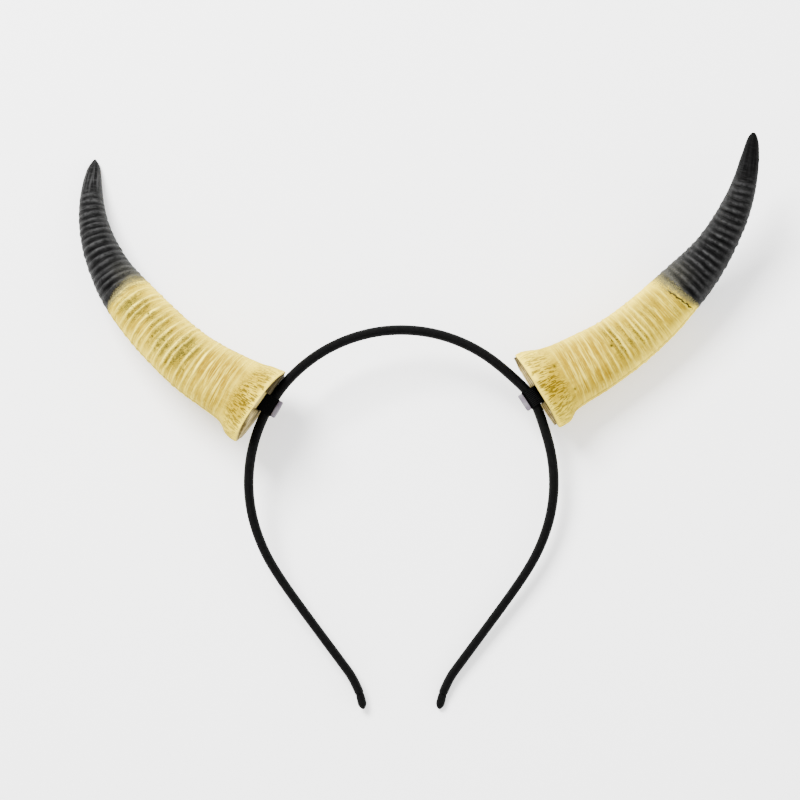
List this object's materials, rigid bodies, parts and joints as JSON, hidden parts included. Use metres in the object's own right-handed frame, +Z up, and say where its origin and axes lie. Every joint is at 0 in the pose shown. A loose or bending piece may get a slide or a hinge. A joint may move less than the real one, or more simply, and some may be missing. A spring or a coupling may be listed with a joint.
{
  "type": "horned headband",
  "caption": "Thin sprung hoop headband with curved, ringed goat horns held on by elastic loops, worn over the crown of the head as costume headwear.",
  "frame": {"origin": "middle of the underside of the box round the headband as it lies on its back on a level surface", "axes": "+X from the wearer's right horn to the left one as seen from the front, +Y from the band's ends towards its crown, +Z up, out of the headband's front"},
  "size_m": [0.298, 0.245, 0.0434],
  "materials": {
    "band_cloth": "black woven wrap with a faint sheen",
    "horn_foam": "moulded foam skin painted cream at the root and charcoal black at the tip",
    "pad_foam": "matt beige foam, layered at its edge",
    "loop_elastic": "black knitted elastic",
    "keeper_felt": "soft light grey felt"
  },
  "bodies": {
    "root": {"band": "band_cloth", "end_tip_left": "band_cloth", "end_tip_right": "band_cloth", "horn_left": "horn_foam", "horn_right": "horn_foam", "base_pad_left": "pad_foam", "base_pad_right": "pad_foam", "strap_loop_left": "loop_elastic", "strap_loop_right": "loop_elastic", "keeper_left": "keeper_felt", "keeper_right": "keeper_felt"}
  },
  "joints": []
}
